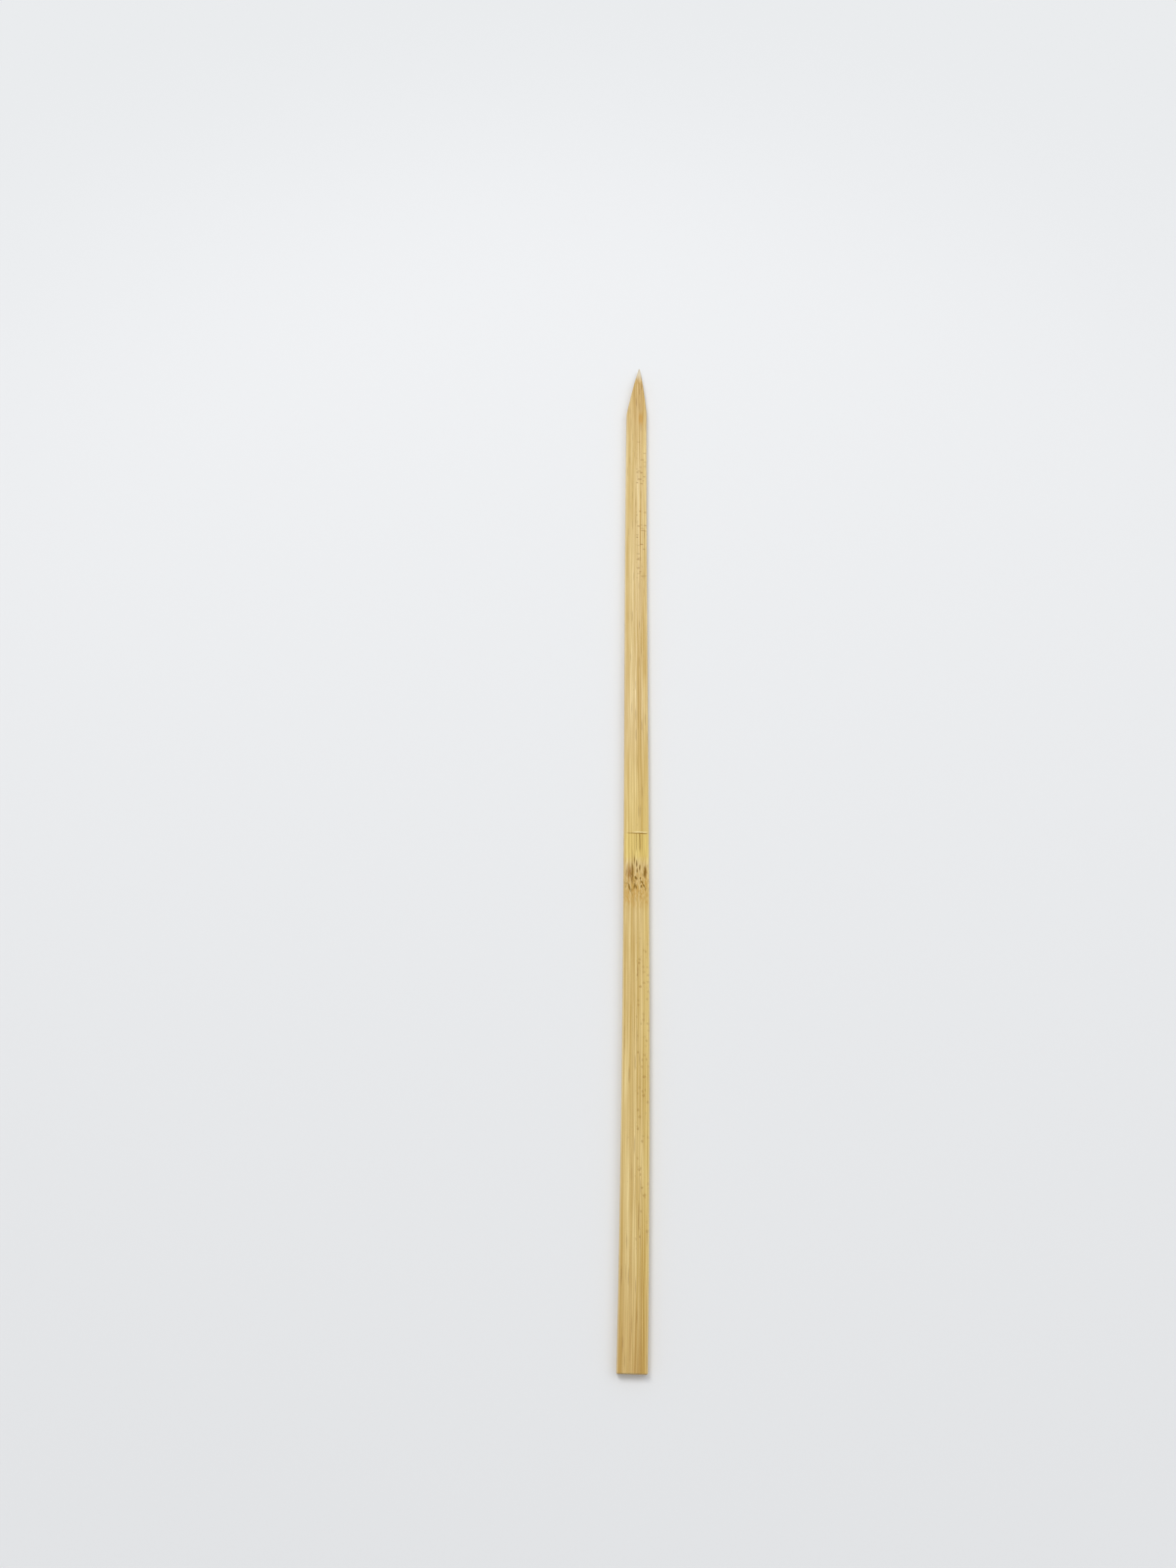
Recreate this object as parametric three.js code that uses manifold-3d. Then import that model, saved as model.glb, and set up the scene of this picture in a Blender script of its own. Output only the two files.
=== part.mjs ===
// A flat bamboo skewer: one strip of culm wall, planed to a flat bar, sawn square at the butt and
// ground to an off-centre point. It lies on the culm's inner side, with its point towards +Y and the
// culm's outer side up.
import * as THREE from "three";
import { mergeVertices } from "three/addons/utils/BufferGeometryUtils.js";
import Module from "manifold-3d";

// The strip, in millimetres
const LENGTH = 450; // from the sawn butt to the tip
const WIDTH = 9.7;
const THICKNESS = 3.2;
const ARRIS_RADIUS = 0.4; // the long edges, eased by tumbling
const BUTT_CHAMFER = 0.35; // the sawn end's two upright corners, eased in the same way
const LOWER_PULL = 2.1; // how hard the middle line is pulled to the right, a third of the way up
const UPPER_PULL = -0.95; // and two thirds of the way up, where it is pulled back to the left

// The culm's node, which crosses the strip
const NODE_FROM_BUTT = 173;
const RIDGE_HEIGHT = 0.15; // what the planer leaves of the nodal ridge
const RIDGE_REACH = 11; // from the ridge's crest to where it dies out
const SCAR_FROM_NODE = 15; // the sheath scar, on the point's side of the ridge
const SCAR_LENGTH = 7.2; // across the strip
const SCAR_WIDTH = 0.6;
const SCAR_DEPTH = 0.12;

// The ground point
const LEFT_FLANK = 32; // from the tip back to the shoulder, along the strip
const RIGHT_FLANK = 33;
const FLANK_BELLY = 0.2; // how far the middle of a flank stands out from a straight line
const TIP_OFFSET = 1.1; // the tip lies this far to the right of the strip's middle
const TIP_WIDTH = 0.6;
const TIP_THICKNESS = 0.8;
const BEVEL_LENGTH = 12; // from the tip back to where the upper and lower bevels start

// How finely the curved surfaces are faceted
const STATIONS = 100; // along the strip
const ARC_SEGMENTS = 2; // half the number of facets on one eased edge
const FLANK_SEGMENTS = 16;
const SCAR_SEGMENTS = 16;

const CLEAR = 3; // how far a cutting solid reaches past what it cuts
const BUTT_Y = -LENGTH / 2;
const TIP_Y = LENGTH / 2;
const NODE_Y = BUTT_Y + NODE_FROM_BUTT;

const wasm = await Module();
wasm.setup();

// A closed three.js geometry as a solid that can be cut and joined.
function solidOf(geometry) {
  const bare = geometry.clone();
  bare.deleteAttribute("normal");
  bare.deleteAttribute("uv");
  const merged = mergeVertices(bare);
  const mesh = new wasm.Mesh({
    numProp: 3,
    vertProperties: merged.attributes.position.array,
    triVerts: new Uint32Array(merged.index.array),
  });
  return new wasm.Manifold(mesh);
}

// A solid as a three.js geometry.
function geometryOf(solid) {
  const mesh = solid.getMesh();
  const geometry = new THREE.BufferGeometry();
  geometry.setAttribute("position", new THREE.BufferAttribute(mesh.vertProperties, 3));
  geometry.setIndex(new THREE.BufferAttribute(mesh.triVerts, 1));
  return geometry;
}

// The bar's section, a rectangle with eased corners. Its x runs through the thickness and its y across
// the width.
function barSection() {
  const x = THICKNESS / 2 - ARRIS_RADIUS;
  const y = WIDTH / 2 - ARRIS_RADIUS;
  const quarter = Math.PI / 2;
  const section = new THREE.Shape();
  section.absarc(x, y, ARRIS_RADIUS, 0, quarter);
  section.absarc(-x, y, ARRIS_RADIUS, quarter, 2 * quarter);
  section.absarc(-x, -y, ARRIS_RADIUS, 2 * quarter, 3 * quarter);
  section.absarc(x, -y, ARRIS_RADIUS, 3 * quarter, 4 * quarter);
  return section;
}

// The strip's middle line. It bows to the right between the butt and the node and is nearly straight
// beyond. Its points are evenly spaced in y, so its parameter grows evenly with y too.
const HALF_LINE = LENGTH / 2 + CLEAR;
const middleLine = new THREE.CubicBezierCurve3(
  new THREE.Vector3(0, -HALF_LINE, 0),
  new THREE.Vector3(LOWER_PULL, -HALF_LINE / 3, 0),
  new THREE.Vector3(UPPER_PULL, HALF_LINE / 3, 0),
  new THREE.Vector3(0, HALF_LINE, 0),
);

// The place on the middle line at one y.
function middleAt(y) {
  return middleLine.getPoint((y + HALF_LINE) / (2 * HALF_LINE));
}

// The nodal ridge's height at a place along the strip, a smooth swelling of the upper face.
function ridgeAt(y) {
  const away = Math.min(1, Math.abs(y - NODE_Y) / RIDGE_REACH);
  return (RIDGE_HEIGHT * (1 + Math.cos(Math.PI * away))) / 2;
}

// The planed bar, a little longer than the strip and lying on z = 0, with the ridge raised out of its
// upper face.
function planedBar() {
  const bar = new THREE.ExtrudeGeometry(barSection(), {
    steps: STATIONS,
    curveSegments: ARC_SEGMENTS,
    extrudePath: middleLine,
  });
  bar.translate(0, 0, THICKNESS / 2);
  const place = bar.attributes.position;
  for (let i = 0; i < place.count; i++) {
    const stretch = 1 + ridgeAt(place.getY(i)) / THICKNESS;
    place.setZ(i, place.getZ(i) * stretch);
  }
  return solidOf(bar);
}

// One flank of the point seen from above, as points from the tip's corner to the shoulder and on past
// the strip's side.
function flank(side, length) {
  const corner = new THREE.Vector2(TIP_OFFSET + (side * TIP_WIDTH) / 2, TIP_Y);
  const shoulder = new THREE.Vector2((side * WIDTH) / 2, TIP_Y - length);
  const along = shoulder.clone().sub(corner).normalize();
  const outwards = new THREE.Vector2(-side * along.y, side * along.x);
  const control = corner.clone().lerp(shoulder, 0.5).addScaledVector(outwards, 2 * FLANK_BELLY);
  const points = new THREE.QuadraticBezierCurve(corner, control, shoulder).getPoints(FLANK_SEGMENTS);
  const runOut = shoulder.clone().sub(control);
  points.push(shoulder.clone().addScaledVector(runOut, (side * CLEAR) / runOut.x));
  return points;
}

// What is left seen from above: the square butt with its eased corners, and the two flanks of the point.
function planCutter() {
  const left = flank(-1, LEFT_FLANK);
  const right = flank(1, RIGHT_FLANK);
  const inner = WIDTH / 2 - BUTT_CHAMFER;
  const outer = WIDTH / 2 + CLEAR;
  const outline = new THREE.Shape([
    new THREE.Vector2(-inner, BUTT_Y),
    new THREE.Vector2(inner, BUTT_Y),
    new THREE.Vector2(outer, BUTT_Y + outer - inner),
    ...right.reverse(),
    ...left,
    new THREE.Vector2(-outer, BUTT_Y + outer - inner),
  ]);
  const height = THICKNESS + RIDGE_HEIGHT + 2 * CLEAR;
  const cutter = new THREE.ExtrudeGeometry(outline, { depth: height, bevelEnabled: false });
  cutter.translate(0, 0, -CLEAR);
  return solidOf(cutter);
}

// The wedge that is ground off one face of the point. The face is 1 for the upper one and -1 for the
// lower one.
function bevelWedge(face) {
  const middle = THICKNESS / 2;
  const slope = (THICKNESS - TIP_THICKNESS) / 2 / BEVEL_LENGTH;
  const heightAt = (fromTip) => middle + face * (TIP_THICKNESS / 2 + slope * fromTip);
  const farEnd = BEVEL_LENGTH + CLEAR / slope;
  // The outline's x runs from the tip towards the butt, and its y is the height.
  const outline = new THREE.Shape([
    new THREE.Vector2(farEnd, heightAt(farEnd)),
    new THREE.Vector2(-CLEAR, heightAt(-CLEAR)),
    new THREE.Vector2(-CLEAR, heightAt(farEnd)),
  ]);
  const width = WIDTH + 2 * CLEAR;
  const wedge = new THREE.ExtrudeGeometry(outline, { depth: width, bevelEnabled: false });
  wedge.translate(0, 0, -width / 2);
  wedge.rotateX(Math.PI / 2);
  wedge.rotateZ(-Math.PI / 2);
  wedge.translate(0, TIP_Y, 0);
  return solidOf(wedge);
}

// The sheath scar, a long shallow dent across the upper face.
function scarDent() {
  const y = NODE_Y + SCAR_FROM_NODE;
  const dent = new THREE.SphereGeometry(1, SCAR_SEGMENTS, SCAR_SEGMENTS);
  dent.rotateZ(Math.PI / 2);
  dent.scale(SCAR_LENGTH / 2, SCAR_WIDTH / 2, SCAR_DEPTH);
  dent.translate(middleAt(y).x, y, THICKNESS + ridgeAt(y));
  return solidOf(dent);
}

function skewer() {
  const solid = planedBar()
    .intersect(planCutter())
    .subtract(bevelWedge(1))
    .subtract(bevelWedge(-1))
    .subtract(scarDent());
  const geometry = geometryOf(solid);
  // The origin is the middle of the underside.
  geometry.center();
  geometry.translate(0, 0, -geometry.boundingBox.min.z);
  const bamboo = new THREE.MeshStandardMaterial({ color: 0xd6bc7c, roughness: 0.6, metalness: 0 });
  const mesh = new THREE.Mesh(geometry, bamboo);
  mesh.name = "skewer";
  return mesh;
}

const part = new THREE.Group();
part.add(skewer());

export default part;
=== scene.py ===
# A flat bamboo skewer lying on a pale floor, seen from above its butt and looking along it to its point.
import math

import bpy
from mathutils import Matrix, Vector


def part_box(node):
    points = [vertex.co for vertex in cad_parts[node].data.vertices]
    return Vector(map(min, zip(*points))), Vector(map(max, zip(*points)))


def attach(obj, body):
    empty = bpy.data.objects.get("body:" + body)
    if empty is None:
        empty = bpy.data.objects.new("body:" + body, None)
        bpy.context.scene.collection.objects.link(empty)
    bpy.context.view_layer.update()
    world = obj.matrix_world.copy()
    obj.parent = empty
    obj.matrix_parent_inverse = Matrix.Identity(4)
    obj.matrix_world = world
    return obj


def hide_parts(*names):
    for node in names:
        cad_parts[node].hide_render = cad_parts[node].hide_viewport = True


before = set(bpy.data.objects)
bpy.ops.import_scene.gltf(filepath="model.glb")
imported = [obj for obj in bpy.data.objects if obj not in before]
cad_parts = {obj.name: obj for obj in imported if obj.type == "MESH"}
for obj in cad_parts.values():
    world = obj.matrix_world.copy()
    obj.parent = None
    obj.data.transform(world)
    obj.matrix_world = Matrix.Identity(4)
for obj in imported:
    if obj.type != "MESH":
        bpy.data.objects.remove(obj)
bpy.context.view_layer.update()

# Sizes of the strip, in metres, as in the frame
MM = 0.001
(_, LOW_Y, _), (HIGH_X, HIGH_Y, _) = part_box("skewer")
LENGTH = HIGH_Y - LOW_Y
WIDTH = 9.7 * MM
THICKNESS = 3.2 * MM
NODE_FROM_BUTT = 173 * MM
SCAR_FROM_NODE = 15 * MM
BEVEL_LENGTH = 12 * MM
LEFT_FLANK = 32 * MM
RIGHT_FLANK = 33 * MM
LOWER_PULL = 2.1 * MM
UPPER_PULL = -0.95 * MM
RAIL_SPARE = 3 * MM  # the middle line runs this far past both ends
BOW_STEPS = 400  # how finely the middle line is searched for its highest stand-off

# Places in millimetres, as the finishes take them: to the right of the middle line, towards the point from
# half-way along, and up from the underside
SIDE_X = WIDTH / 2 / MM
TIP_Y = LENGTH / 2 / MM
BUTT_Y = -TIP_Y
NODE_Y = (NODE_FROM_BUTT - LENGTH / 2) / MM
HALF_Z = THICKNESS / 2 / MM

# In the same millimetres, the stretches with wide ticks and with small dots, from where to where, and the
# place of the brown spot near the point, to the right and along
WIDE_TICKS = (84.0, 178.0)
SMALL_DOTS = (-192.0, -76.0)
BROWN_SPOT = (1.95, 189.2)

# Where the rows of the mesh lie: the share of the rows used up to each place, in metres from the butt
ROWS = 780
ROW_ZONES = (
    (0.03, 3.6 * MM),
    (0.31, NODE_FROM_BUTT - 20 * MM),
    (0.55, NODE_FROM_BUTT + 25 * MM),
    (0.82, LENGTH - 38 * MM),
    (1.0, LENGTH),
)

# A face is a side where its outward direction rises or falls less than this, and an end where it points more
# than this along the strip
SIDE_RISE = 0.6
END_LEAN = 0.7

# The named inputs of the strip's node tree
STRIP = {
    "Length": LENGTH,
    "Width": WIDTH,
    "Thickness": THICKNESS,
    "Arris Radius": 0.4 * MM,
    "Butt Easing": 0.35 * MM,
    "Lower Pull": LOWER_PULL,
    "Upper Pull": UPPER_PULL,
    "Rail Spare": RAIL_SPARE,
    "Node From Butt": NODE_FROM_BUTT,
    "Ridge Height": 0.15 * MM,
    "Ridge Reach": 11 * MM,
    "Scar From Node": SCAR_FROM_NODE,
    "Scar Length": 7.2 * MM,
    "Scar Width": 0.6 * MM,
    "Scar Depth": 0.12 * MM,
    "Left Flank": LEFT_FLANK,
    "Right Flank": RIGHT_FLANK,
    "Flank Belly": 0.2 * MM,
    "Tip Offset": 1.1 * MM,
    "Tip Width": 0.6 * MM,
    "Tip Thickness": 0.8 * MM,
    "Bevel Length": BEVEL_LENGTH,
    "Facet": 0.2 * MM,
    "Unevenness": 0.05 * MM,
}

# The node's dark flecks: where each lies to the right of the middle and from the node towards the point,
# half its width and half its length, and how far it leans to the right for each millimetre. In millimetres.
FLECKS = (
    (-1.5, -1.8, 0.3, 4.2, 0.02),
    (-0.7, 3.7, 0.24, 2.0, 0.0),
    (0.15, 2.2, 0.22, 1.7, 0.05),
    (0.3, -0.9, 0.28, 0.9, 0.0),
    (1.3, 0.4, 0.28, 1.1, 0.0),
    (-0.1, -4.0, 0.5, 0.8, -0.4),
    (1.5, -4.1, 0.38, 0.6, 0.0),
    (2.6, -6.6, 0.32, 2.1, -0.5),
    (1.9, -7.6, 0.36, 0.6, 0.0),
    (-0.7, -7.4, 0.3, 1.4, 0.22),
    (-0.1, -7.7, 0.28, 1.1, -0.1),
    (-2.6, -7.8, 0.28, 2.1, -0.24),
    (3.3, -1.5, 0.36, 2.5, 0.0),
)

# The streaks that hang from the sheath scar: where each lies to the right of the middle and half its width,
# in millimetres, how dark it is, and how far it sways with the grain
THREADS = (
    (0.1, 0.3, 0.6, 0.3),
    (1.35, 0.34, 1.0, 0.3),
    (-0.6, 0.26, 0.35, 0.3),
    (2.3, 0.26, 0.25, -0.4),
)

# The bundles of fibres near the culm's outer face, and near its inner one: how far apart they lie, in
# millimetres, and about half a bundle's width as a share of that
BUNDLES = ((0.34, 0.3), (0.95, 0.24))

# The camera, found from the strip's edges in the photograph: its place in the frame, and in degrees how far
# it looks down and how far it is turned from the strip's own line
CAMERA_PLACE = (-13.35 * MM, -248.45 * MM, 409.5 * MM)
CAMERA_PITCH = 60.14
CAMERA_TURN = 1.387
FOCAL_PIXELS = 1202
IMAGE_HEIGHT = 1600

# The floor, in metres: the height of its face, its radius, and from its middle the distances between which
# it greys with painted shade, and between which the camera sees it fade into the backdrop
FLOOR_LEVEL = -0.05 * MM
FLOOR_RADIUS = 6.0
GREYING = (0.2, 0.9)
FADING = (0.26, 0.62)


def srgb(red, green, blue):
    """A colour written as 0 to 255 per channel, as the linear colour that a socket takes."""
    linear = []
    for level in (red, green, blue):
        share = level / 255
        linear.append(share / 12.92 if share <= 0.04045 else ((share + 0.055) / 1.055) ** 2.4)
    return (*linear, 1.0)


class Field:
    """A number that varies over a mesh: the output of a node, which grows new Math nodes as it is used."""

    def __init__(self, tree, socket):
        self.tree = tree
        self.socket = socket

    def math(self, operation, *others, clamp=False):
        made = self.tree.nodes.new("ShaderNodeMath")
        made.operation = operation
        made.use_clamp = clamp
        for socket, value in zip(made.inputs, (self, *others)):
            plug(self.tree, socket, value)
        return Field(self.tree, made.outputs[0])

    def __add__(self, other):
        return self.math("ADD", other)

    def __sub__(self, other):
        return self.math("SUBTRACT", other)

    def __rsub__(self, other):
        return self.math("MULTIPLY", -1.0).math("ADD", other)

    def __mul__(self, other):
        return self.math("MULTIPLY", other)

    def __truediv__(self, other):
        return self.math("DIVIDE", other)

    __radd__ = __add__
    __rmul__ = __mul__

    def clamp(self):
        return self.math("ADD", 0.0, clamp=True)

    def smooth(self, low, high):
        """0 up to low and 1 from high on, or the other way round where low is the greater."""
        falling = not isinstance(low, Field) and not isinstance(high, Field) and low > high
        ends = (high, low, 1.0, 0.0) if falling else (low, high, 0.0, 1.0)
        made = self.tree.nodes.new("ShaderNodeMapRange")
        made.interpolation_type = "SMOOTHSTEP"
        for socket, value in zip(made.inputs, (self, *ends)):
            plug(self.tree, socket, value)
        return Field(self.tree, made.outputs[0])

    def hump(self, middle, reach):
        """1 at the middle, falling smoothly to 0 at this reach to both sides."""
        return ((self - middle) / reach).math("ABSOLUTE").smooth(1.0, 0.0)


def plug(tree, socket, value):
    """Links a field or a socket to an input, or sets the input to a plain value."""
    if isinstance(value, Field):
        value = value.socket
    if isinstance(value, bpy.types.NodeSocket):
        tree.links.new(value, socket)
    else:
        socket.default_value = value


def node(tree, kind, inputs=None, **settings):
    """A new node with its settings, and its inputs linked or set by name or number."""
    made = tree.nodes.new(kind)
    for name, value in settings.items():
        setattr(made, name, value)
    for key, value in (inputs or {}).items():
        plug(tree, made.inputs[key], value)
    return made


def split(tree, vector):
    """The three parts of a vector, as fields."""
    parts = node(tree, "ShaderNodeSeparateXYZ", {0: vector})
    return [Field(tree, socket) for socket in parts.outputs]


def joined(tree, x, y, z=0.0):
    """A vector made of three parts."""
    return node(tree, "ShaderNodeCombineXYZ", {0: x, 1: y, 2: z}).outputs[0]


def noise(tree, vector, scale=1.0, detail=2.0, roughness=0.5):
    """Smooth noise about 0, mostly between -0.5 and 0.5."""
    inputs = {"Vector": vector, "Scale": scale, "Detail": detail, "Roughness": roughness}
    return Field(tree, node(tree, "ShaderNodeTexNoise", inputs).outputs[0]) - 0.5


def blend(tree, factor, first, second, mode="MIX"):
    """Mixes two colours by a factor."""
    made = node(tree, "ShaderNodeMix", data_type="RGBA", blend_type=mode)
    for key, value in ((0, factor), (6, first), (7, second)):
        plug(tree, made.inputs[key], value)
    return made.outputs[2]


def group(name, kind, inputs, outputs):
    """An empty node group with named sockets, and its input sockets by name."""
    tree = bpy.data.node_groups.new(name, kind)
    for way, sockets in (("INPUT", inputs), ("OUTPUT", outputs)):
        for label, socket_type in sockets.items():
            tree.interface.new_socket(label, in_out=way, socket_type="NodeSocket" + socket_type)
    entry = tree.nodes.new("NodeGroupInput")
    return tree, {label: Field(tree, entry.outputs[label]) for label in inputs}


def finish_group(tree, results):
    """Joins the results to a group's outputs."""
    way_out = tree.nodes.new("NodeGroupOutput")
    for label, value in results.items():
        plug(tree, way_out.inputs[label], value)


def middle_line(share):
    """How far the strip's middle line stands to the right, at a share of the line from its butt end."""
    rest = 1 - share
    return share * rest * 3 * (rest * LOWER_PULL + share * UPPER_PULL)


# The strip's shape


def row_places(tree, share):
    """Spreads the rows of the mesh unevenly along the strip: close where there is detail."""
    spread = node(tree, "ShaderNodeFloatCurve", {"Value": share})
    curve = spread.mapping.curves[0]
    curve.points[1].location = (ROW_ZONES[0][0], ROW_ZONES[0][1] / LENGTH)
    for rows, place in ROW_ZONES[1:]:
        curve.points.new(rows, place / LENGTH)
    for point in curve.points:
        point.handle_type = "VECTOR"
    spread.mapping.update()
    return Field(tree, spread.outputs[0])


def flank_edge(side, size, from_tip, flank):
    """The belly-out curve of one ground flank, as its distance to the right of the middle."""
    share = from_tip / flank
    on_flank = share.clamp()
    beyond = (share - 1.0).math("MAXIMUM", 0.0)
    corner = size["Tip Offset"] + size["Tip Width"] * (side / 2)
    shoulder = size["Width"] * (side / 2)
    belly = size["Flank Belly"] * on_flank * (1.0 - on_flank) * (4 * side)
    return corner + (shoulder - corner) * on_flank + belly + shoulder * beyond


def strip_place(tree, size, raw):
    """Where each point of the straight bar goes: bowed, swollen at the node, and cut at both ends. It is
    given twice, as the place in space and as the place along the grain, without the bow."""
    across, share, up = split(tree, raw)
    along = row_places(tree, share) * size["Length"]
    from_tip = size["Length"] - along

    t = (along + size["Rail Spare"]) / (size["Length"] + size["Rail Spare"] * 2.0)
    rest = 1.0 - t
    middle = t * rest * 3.0 * (rest * size["Lower Pull"] + t * size["Upper Pull"])

    # The width between the two edges, with a little unevenness from the saw
    ragged = [noise(tree, joined(tree, 3.0 * side, along * 60.0), detail=4.0) for side in (-1, 1)]
    half = size["Width"] / 2.0
    left = (middle - half + ragged[0] * size["Unevenness"]).math(
        "MAXIMUM", flank_edge(-1, size, from_tip, size["Left Flank"]))
    right = (middle + half + ragged[1] * size["Unevenness"]).math(
        "MINIMUM", flank_edge(1, size, from_tip, size["Right Flank"]))
    short_of = (size["Butt Easing"] - along).math("MAXIMUM", 0.0)
    easing = size["Butt Easing"]
    eased = easing - (easing * easing - short_of * short_of).math("SQRT")
    centre = (left + right) / 2.0
    breadth = right - left - eased * 2.0
    x = centre + across / size["Width"] * breadth

    # The thickness, with the bevels at the point and the ridge at the node
    ground = (size["Tip Thickness"] + (size["Thickness"] - size["Tip Thickness"]) * from_tip
              / size["Bevel Length"]).math("MINIMUM", size["Thickness"])
    away = ((along - size["Node From Butt"]) / size["Ridge Reach"]).math("ABSOLUTE").math("MINIMUM", 1.0)
    ridge = ((away * math.pi).math("COSINE") + 1.0) * size["Ridge Height"] / 2.0
    upper = (up / size["Thickness"]).smooth(0.25, 0.48)
    z = size["Thickness"] / 2.0 + up / size["Thickness"] * (ground - eased * 2.0)
    z = z * (ridge / size["Thickness"] + 1.0)

    # The sheath scar's dent, and shallow hollows that the planer leaves
    scar_across = (x - middle) / size["Scar Length"] * 2.0
    scar_along = (along - size["Node From Butt"] - size["Scar From Node"]) / size["Scar Width"] * 2.0
    dent = (1.0 - scar_across * scar_across - scar_along * scar_along).math("MAXIMUM", 0.0).math("SQRT")
    hollows = noise(tree, joined(tree, x * 150.0, along * 22.0), detail=3.0)
    z = z - upper * (dent * size["Scar Depth"] + (hollows + 0.5) * size["Unevenness"] * 0.5)

    y = along - size["Length"] / 2.0
    return joined(tree, x, y, z), joined(tree, x - middle, y, z)


def strip_tree():
    """The node tree that makes the skewer's blade from a bar swept along a straight rail."""
    inputs = {label: "Float" for label in STRIP}
    inputs.update({"Rows": "Int", "Shift": "Vector"})
    inputs.update({"Planed": "Material", "Ground": "Material", "Sawn": "Material"})
    tree, size = group("planed strip", "GeometryNodeTree", inputs, {"Geometry": "Geometry"})

    quad = node(tree, "GeometryNodeCurvePrimitiveQuadrilateral",
                {"Width": size["Width"], "Height": size["Thickness"]}, mode="RECTANGLE")
    rounded = node(tree, "GeometryNodeFilletCurve",
                   {"Curve": quad.outputs[0], "Radius": size["Arris Radius"], "Count": 4}, mode="POLY")
    section = node(tree, "GeometryNodeResampleCurve",
                   {"Curve": rounded.outputs[0], "Length": size["Facet"]}, mode="LENGTH")
    line = node(tree, "GeometryNodeCurvePrimitiveLine", {"Start": (0, 0, 0), "End": (0, 1, 0)})
    rail = node(tree, "GeometryNodeResampleCurve",
                {"Curve": line.outputs[0], "Count": size["Rows"]}, mode="COUNT")
    bar = node(tree, "GeometryNodeCurveToMesh",
               {"Curve": rail.outputs[0], "Profile Curve": section.outputs[0], "Fill Caps": True})

    # The place along the grain is kept with each point, for the finishes to follow
    place, grain = strip_place(tree, size, node(tree, "GeometryNodeInputPosition").outputs[0])
    stored = node(tree, "GeometryNodeStoreNamedAttribute",
                  {"Geometry": bar.outputs[0], "Name": "grain", "Value": grain},
                  data_type="FLOAT_VECTOR", domain="POINT")
    shifted = node(tree, "ShaderNodeVectorMath", {0: place, 1: size["Shift"]}, operation="ADD")
    shaped = node(tree, "GeometryNodeSetPosition",
                  {"Geometry": stored.outputs[0], "Position": shifted.outputs[0]})

    # Which faces the saw and the grinding belt made
    _, y, _ = split(tree, node(tree, "GeometryNodeInputPosition").outputs[0])
    facing_x, facing_y, facing_z = split(tree, node(tree, "GeometryNodeInputNormal").outputs[0])
    from_tip = size["Length"] / 2.0 - y
    on_right = facing_x.math("GREATER_THAN", 0.0)
    flank = size["Left Flank"] + (size["Right Flank"] - size["Left Flank"]) * on_right
    sideways = facing_z.math("ABSOLUTE").math("LESS_THAN", SIDE_RISE)
    on_flank = from_tip.math("LESS_THAN", flank) * sideways
    on_bevel = from_tip.math("LESS_THAN", size["Bevel Length"])
    backwards = facing_y.math("LESS_THAN", -END_LEAN)
    cut_faces = {"Ground": on_flank.math("MAXIMUM", on_bevel), "Sawn": backwards}

    # The long faces are shaded smooth, and the two ends flat
    long_faces = facing_y.math("ABSOLUTE").math("LESS_THAN", END_LEAN)
    shaded = node(tree, "GeometryNodeSetShadeSmooth",
                  {"Geometry": shaped.outputs[0], "Shade Smooth": long_faces})
    whole = node(tree, "GeometryNodeRealizeInstances", {0: shaded.outputs[0]})
    made = node(tree, "GeometryNodeSetMaterial", {"Geometry": whole.outputs[0], "Material": size["Planed"]})
    for label, chosen in cut_faces.items():
        made = node(tree, "GeometryNodeSetMaterial",
                    {"Geometry": made.outputs[0], "Selection": chosen, "Material": size[label]})
    finish_group(tree, {"Geometry": made.outputs[0]})
    return tree


def grow(name, tree, values):
    """Runs a node tree once and keeps what it makes as a plain mesh."""
    piece = bpy.data.objects.new(name, bpy.data.meshes.new(name))
    bpy.context.scene.collection.objects.link(piece)
    modifier = piece.modifiers.new("grow", "NODES")
    modifier.node_group = tree
    for item in tree.interface.items_tree:
        if item.in_out == "INPUT":
            modifier[item.identifier] = values[item.name]
    depsgraph = bpy.context.evaluated_depsgraph_get()
    made = bpy.data.meshes.new_from_object(piece.evaluated_get(depsgraph))
    piece.modifiers.remove(modifier)
    piece.data = made
    return piece


# The finishes, in millimetres along the grain

# The colours of the culm wall, of what the tools and the handling left on it, and of the painted highlights
# on its edges
PALE_PITH = srgb(239, 218, 168)
GOLDEN_PITH = srgb(187, 150, 72)
OUTER_STRAW = srgb(216, 190, 120)
FINE_STRAW = srgb(184, 148, 80)
CLEAR_STRAW = srgb(238, 214, 156)
PALE_TONE = srgb(224, 202, 138)
BUNDLE_BROWN = srgb(166, 124, 60)
PORE_BROWN = srgb(140, 98, 44)
TICK_BROWN = srgb(144, 98, 12)
SPECK_BROWN = srgb(146, 102, 46)
SPOT_BROWN = srgb(190, 140, 48)
ARRIS_HIGHLIGHT = srgb(230, 207, 154)
POINT_STREAK = srgb(176, 122, 46)
POINT_SCRATCH = srgb(220, 194, 138)
POINT_SPECK = srgb(146, 106, 58)
GREYISH_TIP = srgb(214, 204, 182)
SAWN_STRAW = srgb(186, 150, 92)
SAWN_BUNDLE = srgb(104, 68, 28)
SAWN_RIM_HIGHLIGHT = srgb(230, 208, 160)
SAW_MARK = srgb(226, 204, 160)

# Glazes, by which a colour is multiplied
GOLDEN_GLAZE = (0.94, 0.92, 0.64, 1.0)
CLEAR_GLAZE = (0.98, 0.98, 0.66, 1.0)
# The glaze of the painted shade at the strip's two ends
END_SHADE_GLAZE = (0.76, 0.63, 0.45, 1.0)

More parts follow.
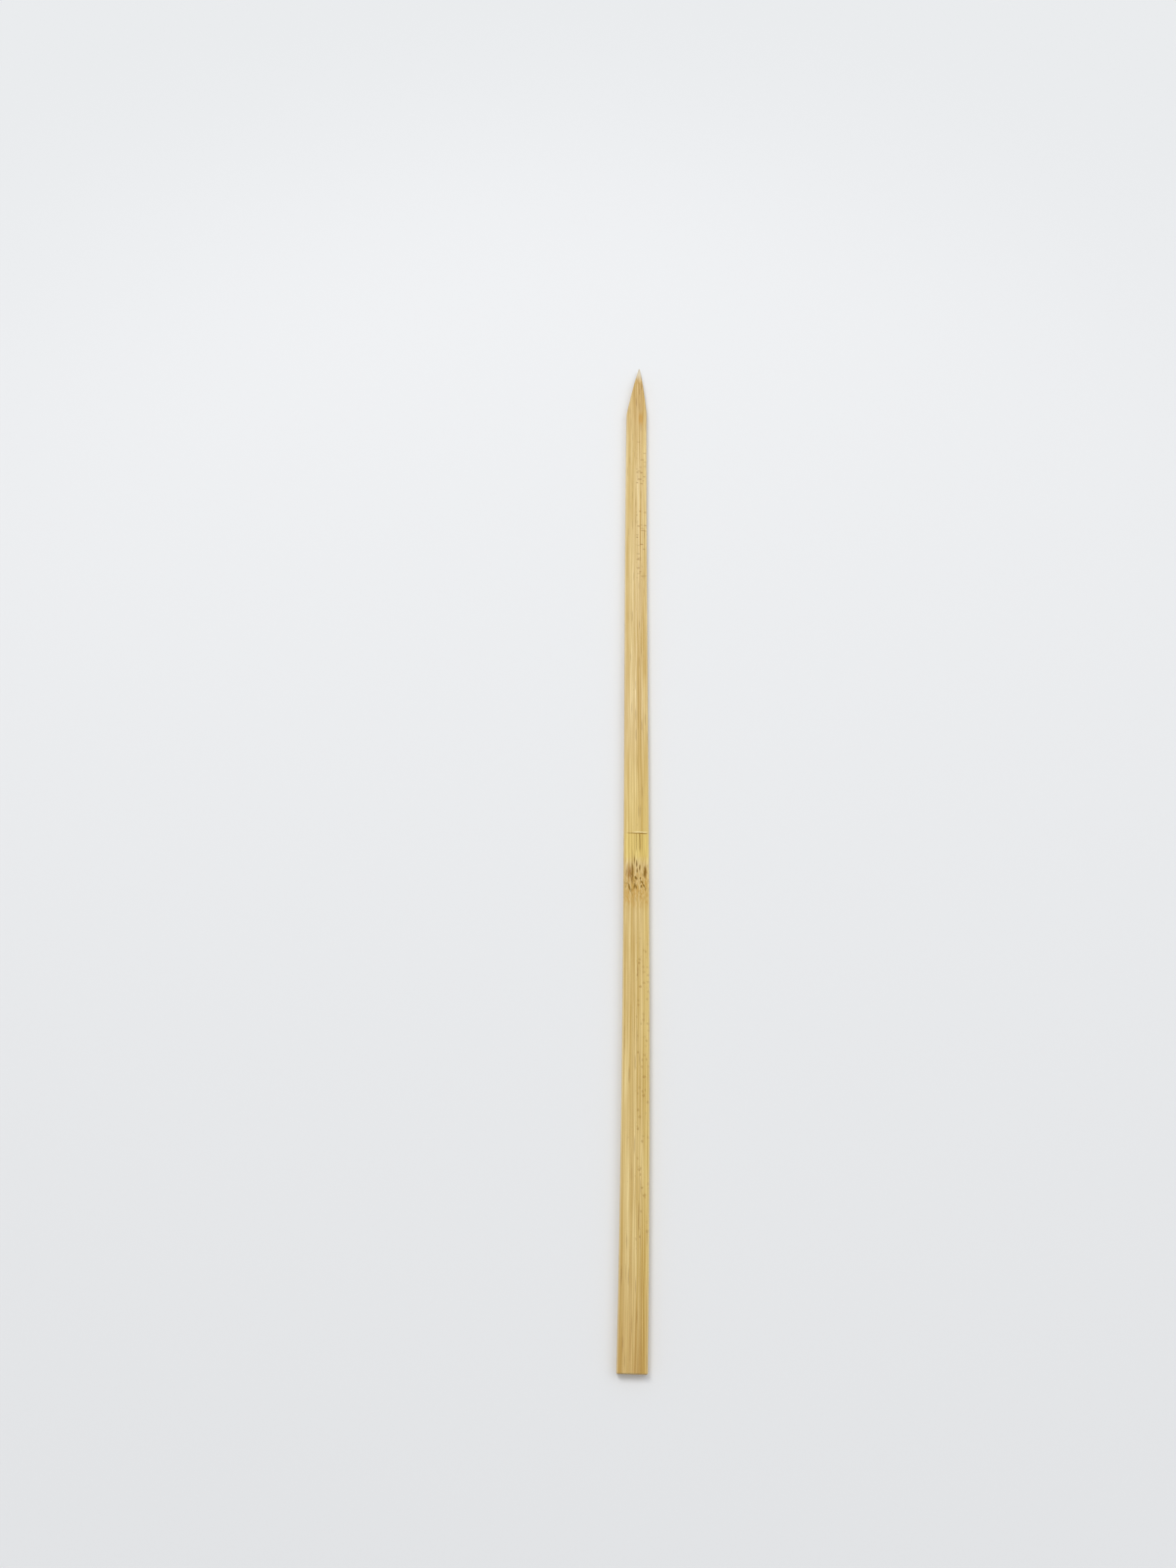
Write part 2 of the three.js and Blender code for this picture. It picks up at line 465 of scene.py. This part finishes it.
# The node's marks in the order in which they lie over each other: how strongly each covers, and its colour
NODE_MARKS = (
    ("Warm", 0.68, srgb(186, 140, 44)),
    ("Gap", 0.4, srgb(236, 212, 158)),
    ("Speckle", 0.5, srgb(190, 136, 34)),
    ("Stain", 0.78, srgb(146, 98, 26)),
    ("Fleck", 0.88, srgb(120, 86, 0)),
    ("Scar", 0.68, srgb(128, 86, 0)),
    # The pale line above the scar is a painted highlight
    ("Scar Highlight", 0.6, srgb(242, 224, 166)),
)


def culm_fibres():
    """The culm's bundles of fibres: small and close near the outer face, large and sparse near the inner."""
    tree, given = group("culm fibres", "ShaderNodeTree", {"Place": "Vector", "Swirl": "Float"},
                        {"Colour": "Color", "Bundle": "Float", "Height": "Float"})
    x, y, z = split(tree, given["Place"])
    slow = joined(tree, x * 0.15, y * 0.018, z * 0.3)
    swirl = joined(tree, x * 0.5, y * 0.22, z * 0.5)
    wavered_x = x + noise(tree, slow) * 0.9 + noise(tree, swirl, detail=3.0) * given["Swirl"]
    wavered_z = z + noise(tree, slow, scale=1.3) * 0.5 + noise(tree, swirl, scale=1.2) * given["Swirl"]
    outer = z.smooth(0.5, 2.9)

    bundles = []
    for spacing, size in BUNDLES:
        cells = node(tree, "ShaderNodeTexVoronoi",
                     {"Vector": joined(tree, wavered_x, wavered_z), "Scale": 1 / spacing},
                     voronoi_dimensions="2D")
        strength, _, _ = split(tree, cells.outputs["Color"])
        fading = noise(tree, joined(tree, x * 2.5, y * 0.03, z * 2.5), detail=3.0) + 0.75
        spot = Field(tree, cells.outputs["Distance"]).smooth(size + 0.22, size - 0.16)
        bundles.append(spot * (strength * 0.7 + 0.3) * fading)
    bundle = bundles[0] * outer + bundles[1] * (1.0 - outer)

    # Short pores, where a vessel comes to the surface
    cells = node(tree, "ShaderNodeTexVoronoi",
                 {"Vector": joined(tree, wavered_x * 1.3, y * 0.085, wavered_z * 1.3), "Scale": 1.0})
    chosen, _, _ = split(tree, cells.outputs["Color"])
    pore = Field(tree, cells.outputs["Distance"]).smooth(0.34, 0.14) * chosen.smooth(0.35, 0.8)

    # Broad streaks, thin lines, fine threads, and patches a few centimetres long
    broad = noise(tree, joined(tree, wavered_x * 1.1, y * 0.01, z * 0.8), detail=3.0, roughness=0.6)
    lines = noise(tree, joined(tree, wavered_x * 3.4, y * 0.016, z * 2.6), detail=3.0, roughness=0.65)
    patch = noise(tree, joined(tree, wavered_x * 0.3, y * 0.028, z * 0.3), detail=3.0)
    fine = noise(tree, joined(tree, wavered_x * 8.0, y * 0.05, z * 6.0), detail=2.0)
    depth = (broad * 2.5 + lines * 2.5 + patch * 0.8 + 0.42).clamp()
    pith = blend(tree, depth, PALE_PITH, GOLDEN_PITH)
    pith = blend(tree, outer * 0.12, pith, OUTER_STRAW)
    straw = blend(tree, (fine * 1.6 + 0.22).clamp(), pith, FINE_STRAW)
    colour = blend(tree, (bundle * 0.5).clamp(), straw, BUNDLE_BROWN)
    colour = blend(tree, pore * 0.42, colour, PORE_BROWN)
    height = fine * 0.6 - bundle * 0.5 - pore * 0.7
    finish_group(tree, {"Colour": colour, "Bundle": bundle, "Height": height})
    return tree


def node_figure():
    """The marks of the culm's node on the planed face: brown patches and speckles, dark flecks, and the
    sheath scar. Here v is the place along from the node, and u the place along from the scar."""
    marks = ("Stain", "Warm", "Gap", "Speckle", "Fleck", "Scar", "Scar Highlight", "Clear", "Swirl")
    tree, given = group("node figure", "ShaderNodeTree", {"Place": "Vector"}, dict.fromkeys(marks, "Float"))
    x, y, z = split(tree, given["Place"])
    v = y - NODE_Y
    outer = z.smooth(0.2, 3.0)
    wander = noise(tree, joined(tree, x * 0.5, v * 0.35, z), detail=3.0)
    rough = noise(tree, joined(tree, x * 1.5, v * 0.42, z), detail=4.0, roughness=0.6)
    streaky = noise(tree, joined(tree, x * 2.2 + v * 0.12, v * 0.16, z), detail=3.0)
    frayed = noise(tree, joined(tree, x * 4.2, v * 0.7, z), detail=4.0, roughness=0.7)

    # Two brown patches beside the middle, pale gaps around them, and a warm band on the butt's side
    left = (x + wander * 0.8).hump(-2.7, 2.1) * (v + wander * 2.0 + frayed * 1.5).hump(-1.9, 5.0)
    right = (x + wander * 0.5).hump(3.4, 0.9) * (v + wander * 2.0).hump(-1.6, 3.9)
    lines = noise(tree, joined(tree, x * 2.6 + wander, v * 0.2, z), detail=3.0, roughness=0.6)
    stain = (left * 1.1 + right * 0.9) * (1.0 - lines * 3.4) * (outer * 0.7 + 0.3)
    gaps = lines.smooth(0.03, 0.2) * v.hump(-3.5, 13.0) * outer
    band = v.smooth(-20.0, -9.5) * v.smooth(2.0, -5.0)
    warm = band * (rough * 4.4 + 0.68).clamp() * (outer * 0.6 + 0.4)

    # Golden speckles on the butt's side of the flecks
    mottle = noise(tree, joined(tree, x * 1.5 + v * 0.3, v * 0.5 - x * 0.1, z + 4.0), detail=3.0)
    speckle = mottle.smooth(0.03, 0.16) * (v + wander * 3.0).hump(-11.5, 7.0) * outer

    # Dark flecks where the bundles turn across the strip, and small ones at random around them
    fleck = None
    for place_x, place_v, half_width, half_length, lean in FLECKS:
        off_v = (v + wander * 0.6 + frayed * 2.2 - place_v) / half_length
        off_x = (x + streaky * 0.7 - place_x - off_v * (lean * half_length)) / half_width
        spot = (off_x * off_x + off_v * off_v + frayed * 2.0).smooth(1.7, 0.0)
        fleck = spot if fleck is None else fleck.math("MAXIMUM", spot)
    turned = joined(tree, x * 1.4 + v * 0.2 + wander * 1.8, v * 0.4 + x * 0.08)
    cells = node(tree, "ShaderNodeTexVoronoi", {"Vector": turned, "Scale": 1.0}, voronoi_dimensions="2D")
    chosen, _, _ = split(tree, cells.outputs["Color"])
    small = Field(tree, cells.outputs["Distance"]).smooth(0.4, 0.12) * chosen.smooth(0.45, 0.8)
    small = small * (v + wander * 4.0).hump(-6.0, 12.0)
    fleck = (fleck * (streaky + 1.0) + small * 0.55).clamp() * outer

    # The scar with a pale painted highlight just above it, and a few streaks hanging from it towards the node
    u = v - SCAR_FROM_NODE / MM + noise(tree, joined(tree, x * 0.5, 0.0), detail=2.0) * 0.6
    within = (x - 0.3).math("ABSOLUTE").smooth(4.4, 3.2) * z.smooth(2.2, 2.9)
    line = u.hump(0.18, 0.5) * within * (x * 0.08 + 0.75)
    scar_highlight = u.hump(0.72, 0.5) * within * x.smooth(-2.0, 0.5)
    hanging = u.smooth(-9.0, -6.0) * u.smooth(0.3, -0.1) * z.smooth(2.2, 2.9)
    threads = sum((x + wander * sway).hump(place_x, half_width) * strength
                  for place_x, half_width, strength, sway in THREADS)
    scar = line + threads * hanging * 1.15

    # A clear stretch, strongest between the node and the scar, which fades out beyond it
    clear = v.smooth(1.0, 6.0) * (u.smooth(0.6, -0.4) * 0.35 + u.smooth(62.0, 0.0) * 0.65) * outer
    finish_group(tree, {"Stain": stain.clamp(), "Warm": warm, "Gap": gaps, "Speckle": speckle,
                        "Fleck": fleck, "Scar": scar.clamp(), "Scar Highlight": scar_highlight, "Clear": clear,
                        "Swirl": v.hump(-2.0, 15.0)})
    return tree


def cross_ticks():
    """Short brown marks, where the planer cut across the bundles. Across and Along are about half a mark's
    width and half its length, in millimetres. Each has its own width and darkness, and a frayed outline."""
    tree, given = group("cross ticks", "ShaderNodeTree",
                        {"Place": "Vector", "Amount": "Float", "Across": "Float", "Along": "Float"},
                        {"Tick": "Float"})
    x, y, z = split(tree, given["Place"])

    # Each mark lies in a cell of its own, this many millimetres across and along
    cell_across, cell_along = 1.6, 2.2
    cells = node(tree, "ShaderNodeTexVoronoi",
                 {"Vector": joined(tree, x / cell_across, y / cell_along), "Scale": 1.0},
                 voronoi_dimensions="2D")
    centre_x, centre_y, _ = split(tree, cells.outputs["Position"])
    breadth, darkness, chosen = split(tree, cells.outputs["Color"])
    frayed = noise(tree, joined(tree, x * 2.2, y * 1.8, 3.0), detail=4.0, roughness=0.7)
    off_x = (x - centre_x * cell_across) / ((breadth + 0.5) * given["Across"])
    off_y = (y - centre_y * cell_along + off_x * 0.05) / given["Along"]
    spot = (off_x * off_x + off_y * off_y + frayed * 3.0).smooth(1.1, 0.2)
    upper_face = z.smooth(2.6, 3.0)
    present = (chosen - 1.0 + given["Amount"]).smooth(0.0, 0.12) * (darkness * 0.7 + 0.3)
    finish_group(tree, {"Tick": spot * upper_face * present})
    return tree


def handling_marks():
    """Specks of dark fibre, and soft scuffs from tumbling and packing."""
    tree, given = group("handling marks", "ShaderNodeTree", {"Place": "Vector"},
                        {"Speck": "Float", "Scuff": "Float"})
    x, y, z = split(tree, given["Place"])
    specks = noise(tree, joined(tree, x * 1.5, y * 0.35, z * 1.5), detail=3.0, roughness=0.65)
    scuffs = noise(tree, joined(tree, x * 0.25, y * 0.035, z * 0.25), detail=4.0, roughness=0.6)
    finish_group(tree, {"Speck": specks.smooth(0.17, 0.3), "Scuff": (scuffs * 1.8 + 0.5).clamp()})
    return tree


def arris_highlight_mask():
    """The eased long edges, where a pale highlight is painted."""
    tree, given = group("arris highlight mask", "ShaderNodeTree", {"Place": "Vector"}, {"Edge": "Float"})
    x, y, z = split(tree, given["Place"])
    wander = noise(tree, joined(tree, x * 0.2, y * 0.08, z * 0.2), detail=3.0) * 0.3
    side = (x.math("ABSOLUTE") + wander).smooth(SIDE_X - 0.75, SIDE_X - 0.15)
    face = (z - HALF_Z).math("ABSOLUTE").smooth(HALF_Z - 0.7, HALF_Z - 0.15)
    finish_group(tree, {"Edge": side * face})
    return tree


class Finish:
    """A material for the strip, with its place along the grain in millimetres. Plain values are named as the
    surface's own sockets are, with a low line for each space."""

    def __init__(self, name, **plain):
        self.material = bpy.data.materials.new(name)
        self.material.use_nodes = True
        self.tree = self.material.node_tree
        self.surface = self.tree.nodes["Principled BSDF"]
        for label, value in plain.items():
            self.surface.inputs[label.replace("_", " ")].default_value = value
        grain = node(self.tree, "ShaderNodeAttribute", attribute_type="GEOMETRY", attribute_name="grain")
        scaled = node(self.tree, "ShaderNodeVectorMath", {0: grain.outputs["Vector"], "Scale": 1 / MM},
                      operation="SCALE")
        self.place = scaled.outputs[0]
        self.x, self.y, self.z = split(self.tree, self.place)

    def use(self, effect, **inputs):
        """Places one of the shared groups and returns its outputs by name."""
        placed = node(self.tree, "ShaderNodeGroup", {}, node_tree=effect)
        plug(self.tree, placed.inputs["Place"], self.place)
        for label, value in inputs.items():
            plug(self.tree, placed.inputs[label], value)
        return {socket.name: Field(self.tree, socket) for socket in placed.outputs}

    def mix(self, factor, first, second):
        """Covers the first colour with the second, as strongly as the factor says."""
        return blend(self.tree, factor, first, second)

    def tint(self, factor, colour, glaze):
        """Darkens a colour as a thin coloured glaze would, so that the streaks under it still show."""
        return blend(self.tree, factor, colour, glaze, "MULTIPLY")

    def noise(self, x, y, z=0.0, **more):
        """Smooth noise at a place that is given by its three parts."""
        return noise(self.tree, joined(self.tree, x, y, z), **more)

    def stretch(self, start, end):
        """1 on a stretch of the strip, fading to 0 over its first and its last ten millimetres."""
        return self.y.smooth(start, start + 10.0) * self.y.smooth(end, end - 10.0)

    def done(self, colour, roughness, height, depth):
        """Joins up the surface: its colour, its roughness, and its relief as a height of this depth."""
        bump = node(self.tree, "ShaderNodeBump", {"Height": height, "Distance": depth, "Strength": 1.0})
        plug(self.tree, self.surface.inputs["Base Color"], colour)
        plug(self.tree, self.surface.inputs["Roughness"], roughness)
        plug(self.tree, self.surface.inputs["Normal"], bump.outputs[0])
        return self.material


def shaded_ends(made, colour):
    """Darkens a colour towards the strip's two ends with painted shade, in streaks and with a wavering edge.
    """
    wander = made.noise(made.x * 0.6, made.y * 0.02, detail=3.0)
    streaks = made.noise(made.x * 1.5, made.y * 0.03, made.z, detail=3.0)
    to_point = (made.y + wander * 22.0).smooth(TIP_Y - 58.0, TIP_Y - 26.0) * 0.42
    to_butt = (made.y + wander * 16.0).smooth(BUTT_Y + 48.0, BUTT_Y) * 0.55
    return made.tint(((to_point + to_butt) * (streaks * 2.2 + 1.0)).clamp(), colour, END_SHADE_GLAZE)


def toned(made, colour, wander):
    """Makes a colour more golden in the right-hand third and on the butt's side of the node, and paler in
    the left half on the point's side."""
    golden = (made.x + wander * 2.5).smooth(0.8, 4.0) * 0.42
    golden = golden + (made.y + wander * 40.0).smooth(-20.0, -90.0) * 0.5
    colour = made.tint(golden, colour, GOLDEN_GLAZE)
    pale = (made.x + wander * 2.5).smooth(1.5, -2.0) * (made.y + wander * 40.0).smooth(0.0, 60.0)
    return made.mix(pale * 0.24, colour, PALE_TONE)


def planed_culm(effects):
    """The four long faces: planed along the grain, pale straw with golden streaks."""
    made = Finish("planed culm", IOR=1.45, Specular_IOR_Level=0.4)
    marks = made.use(effects["node figure"])
    fibres = made.use(effects["culm fibres"], Swirl=marks["Swirl"] * 1.1)
    wear = made.use(effects["handling marks"])
    highlight_edge = made.use(effects["arris highlight mask"])["Edge"]

    # The right-hand half has wide ticks towards the point, and small dots on the butt's side of the node
    right_half = (made.x + 0.4).smooth(0.0, 1.0)
    crowding = made.noise(0.0, made.y * 0.07, 7.0, detail=3.0) * 1.4
    wide = made.use(effects["cross ticks"], Amount=crowding + 0.36, Across=1.0, Along=0.42)["Tick"]
    dots = made.use(effects["cross ticks"], Amount=crowding + 0.5, Across=0.5, Along=0.6)["Tick"]
    ticks = (wide * made.stretch(*WIDE_TICKS) + dots * made.stretch(*SMALL_DOTS) * 0.6) * right_half

    wander = made.noise(made.x * 0.3, made.y * 0.02)
    colour = toned(made, fibres["Colour"].socket, wander)
    colour = made.mix(marks["Clear"] * 0.24, colour, CLEAR_STRAW)
    colour = made.tint(marks["Clear"], colour, CLEAR_GLAZE)
    for label, strength, mark_colour in NODE_MARKS:
        colour = made.mix(marks[label] * strength, colour, mark_colour)
    colour = made.mix(ticks * 0.7, colour, TICK_BROWN)
    colour = made.mix(wear["Speck"] * 0.4, colour, SPECK_BROWN)

    # Both ends are darkened a little with painted shade, there is one brown spot near the point, and the
    # edges get a pale painted highlight
    colour = shaded_ends(made, colour)
    spot_x, spot_y = BROWN_SPOT
    spot = (made.x + wander).hump(spot_x, 1.6) * made.y.hump(spot_y, 6.0) * made.z.smooth(2.4, 3.0)
    colour = made.mix((spot * 1.4).clamp() * 0.62, colour, SPOT_BROWN)
    colour = made.mix(highlight_edge * 0.45, colour, ARRIS_HIGHLIGHT)

    roughness = wear["Scuff"] * 0.16 + 0.48 + fibres["Bundle"] * 0.1 + (marks["Fleck"] + marks["Scar"]) * 0.3
    height = fibres["Height"] - marks["Scar"] * 1.2 - ticks * 0.9 - marks["Fleck"] * 0.5
    return made.done(colour, roughness, height, depth=0.06 * MM)


def ground_point(effects):
    """The ground flanks and bevels of the point: scratched across the grain, and greyish pale at the tip."""
    made = Finish("ground point", IOR=1.45, Specular_IOR_Level=0.4)
    fibres = made.use(effects["culm fibres"], Swirl=0.0)
    wear = made.use(effects["handling marks"])
    scratches = made.noise(made.x * 1.2 + made.y * 0.9, made.y * 9.0, made.z * 3.0, detail=3.0, roughness=0.7)
    wander = made.noise(made.x * 1.5, made.y * 0.15, made.z * 1.5)
    to_tip = (made.y + wander * 5.0).smooth(TIP_Y - 10.5, TIP_Y - 3.0)

    # How deep the belt has gone: 0 at the height of the planed faces, and 1 from 0.6 mm inside them
    fresh = (made.z - HALF_Z).math("ABSOLUTE").smooth(HALF_Z - 0.05, HALF_Z - 0.6)

    colour = toned(made, fibres["Colour"].socket, made.noise(made.x * 0.3, made.y * 0.02))
    # The point's end is darkened with painted shade as well
    colour = shaded_ends(made, colour)
    streak = (made.x + wander * 0.6).hump(0.4, 0.9) * made.y.hump(TIP_Y - 12.0, 7.0)
    colour = made.mix(streak * 0.25, colour, POINT_STREAK)
    colour = made.mix((scratches * 0.9 + 0.15).clamp() * fresh * 0.5, colour, POINT_SCRATCH)
    colour = made.mix(to_tip * 0.85, colour, GREYISH_TIP)
    colour = made.mix(wear["Speck"] * 0.25, colour, POINT_SPECK)
    roughness = wear["Scuff"] * 0.14 + 0.5 + fresh * 0.12
    height = fibres["Height"] * (1.0 - fresh * 0.5) + scratches * fresh * 0.9
    return made.done(colour, roughness, height, depth=0.06 * MM)


def sawn_end(effects):
    """The sawn butt: the bundles show as brown dots where they are cut across, under the saw's marks."""
    made = Finish("sawn end", IOR=1.45)
    fibres = made.use(effects["culm fibres"], Swirl=0.0)
    wear = made.use(effects["handling marks"])
    highlight_edge = made.use(effects["arris highlight mask"])["Edge"]
    saw = made.noise(made.x * 0.7, made.z * 11.0 + made.x * 1.5, detail=2.0)
    colour = made.mix(0.35, fibres["Colour"].socket, SAWN_STRAW)
    colour = made.mix((fibres["Bundle"] * 0.85).clamp(), colour, SAWN_BUNDLE)
    colour = made.mix((saw + 0.3).clamp() * 0.35, colour, SAW_MARK)
    # A pale painted highlight round the rim of the sawn end
    colour = made.mix(highlight_edge * 0.5, colour, SAWN_RIM_HIGHLIGHT)
    roughness = wear["Scuff"] * 0.1 + 0.78
    height = saw * 1.2 - fibres["Bundle"] * 0.8
    return made.done(colour, roughness, height, depth=0.1 * MM)


# The stage

FLOOR_NEAR = srgb(229, 230, 231)
FLOOR_FAR = srgb(222, 223, 225)
BACKDROP = srgb(234, 236, 238)


def pale_floor():
    """A plain pale floor, painted softly greyer with the distance from the skewer as a painted falloff of the
    light.
    """
    material = bpy.data.materials.new("pale floor")
    material.use_nodes = True
    tree = material.node_tree
    place = node(tree, "ShaderNodeTexCoord").outputs["Object"]
    length = node(tree, "ShaderNodeVectorMath", {0: place}, operation="LENGTH")
    distance = Field(tree, length.outputs["Value"])
    mottle = noise(tree, place, scale=3.0, detail=4.0) * 0.05
    colour = blend(tree, (distance + mottle).smooth(*GREYING), FLOOR_NEAR, FLOOR_FAR)
    surface = tree.nodes["Principled BSDF"]
    plug(tree, surface.inputs["Base Color"], colour)
    surface.inputs["Roughness"].default_value = 0.7
    surface.inputs["Specular IOR Level"].default_value = 0.2

    # Far off, the floor shows the camera the backdrop's own colour, so that no horizon is seen
    glow = node(tree, "ShaderNodeEmission", {"Color": BACKDROP, "Strength": 1.0})
    seen = Field(tree, node(tree, "ShaderNodeLightPath").outputs["Is Camera Ray"])
    far = (distance + mottle).smooth(*FADING) * seen
    mixed = node(tree, "ShaderNodeMixShader", {0: far, 1: surface.outputs[0], 2: glow.outputs[0]})
    tree.links.new(mixed.outputs[0], tree.nodes["Material Output"].inputs["Surface"])

    bpy.ops.mesh.primitive_circle_add(
        vertices=96, radius=FLOOR_RADIUS, fill_type="NGON", location=(0, 0, FLOOR_LEVEL))
    floor = bpy.context.object
    floor.name = "floor"
    floor.data.materials.append(material)
    return floor


def softbox(name, place, size, power):
    """A large square lamp that faces the frame's origin."""
    lamp = bpy.data.lights.new(name, "AREA")
    lamp.size = size
    lamp.energy = power
    holder = bpy.data.objects.new(name, lamp)
    bpy.context.scene.collection.objects.link(holder)
    holder.location = place
    holder.rotation_euler = holder.location.to_track_quat("Z", "Y").to_euler()


def light_stage():
    """Soft light from all round, the backdrop that the camera and reflections see instead, and two lamps."""
    world = bpy.data.worlds.new("soft room")
    bpy.context.scene.world = world
    world.use_nodes = True
    tree = world.node_tree
    room = tree.nodes["Background"]
    room.inputs["Color"].default_value = (0.97, 0.98, 1.0, 1.0)
    room.inputs["Strength"].default_value = 0.55
    backdrop = node(tree, "ShaderNodeBackground", {"Color": BACKDROP, "Strength": 1.0})
    rays = node(tree, "ShaderNodeLightPath")
    seen = Field(tree, rays.outputs["Is Camera Ray"])
    for ray in ("Is Glossy Ray", "Is Transmission Ray"):
        seen = seen.math("MAXIMUM", Field(tree, rays.outputs[ray]))
    mixed = node(tree, "ShaderNodeMixShader", {0: seen, 1: room.outputs[0], 2: backdrop.outputs[0]})
    tree.links.new(mixed.outputs[0], tree.nodes["World Output"].inputs["Surface"])
    softbox("key softbox", place=(-0.5, 0.65, 1.5), size=0.8, power=12.5)
    softbox("fill softbox", place=(0.9, 0.3, 1.3), size=1.2, power=6.0)


def photograph_camera():
    """The camera where the photograph was taken. Its sensor's width spans the upright frame's height."""
    camera = bpy.data.objects.new("camera", bpy.data.cameras.new("camera"))
    bpy.context.scene.collection.objects.link(camera)
    camera.data.sensor_width = 36
    camera.data.lens = FOCAL_PIXELS / IMAGE_HEIGHT * camera.data.sensor_width
    camera.data.clip_start = 0.01
    camera.location = CAMERA_PLACE
    camera.rotation_euler = (math.radians(90 - CAMERA_PITCH), 0, math.radians(CAMERA_TURN))
    bpy.context.scene.camera = camera


effects = {
    "culm fibres": culm_fibres(),
    "node figure": node_figure(),
    "cross ticks": cross_ticks(),
    "handling marks": handling_marks(),
    "arris highlight mask": arris_highlight_mask(),
}

# The middle line's highest stand-off fixes where the bowed strip lies in the frame
bow_peak = max(middle_line(step / BOW_STEPS) for step in range(BOW_STEPS + 1))
strip_values = dict(STRIP)
strip_values["Rows"] = ROWS
strip_values["Shift"] = (HIGH_X - WIDTH / 2 - bow_peak, (LOW_Y + HIGH_Y) / 2, 0.0)
strip_values["Planed"] = planed_culm(effects)
strip_values["Ground"] = ground_point(effects)
strip_values["Sawn"] = sawn_end(effects)
blade = grow("blade", strip_tree(), strip_values)
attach(blade, "root")
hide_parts("skewer")

pale_floor()
light_stage()
photograph_camera()
bpy.context.scene.view_settings.view_transform = "Standard"
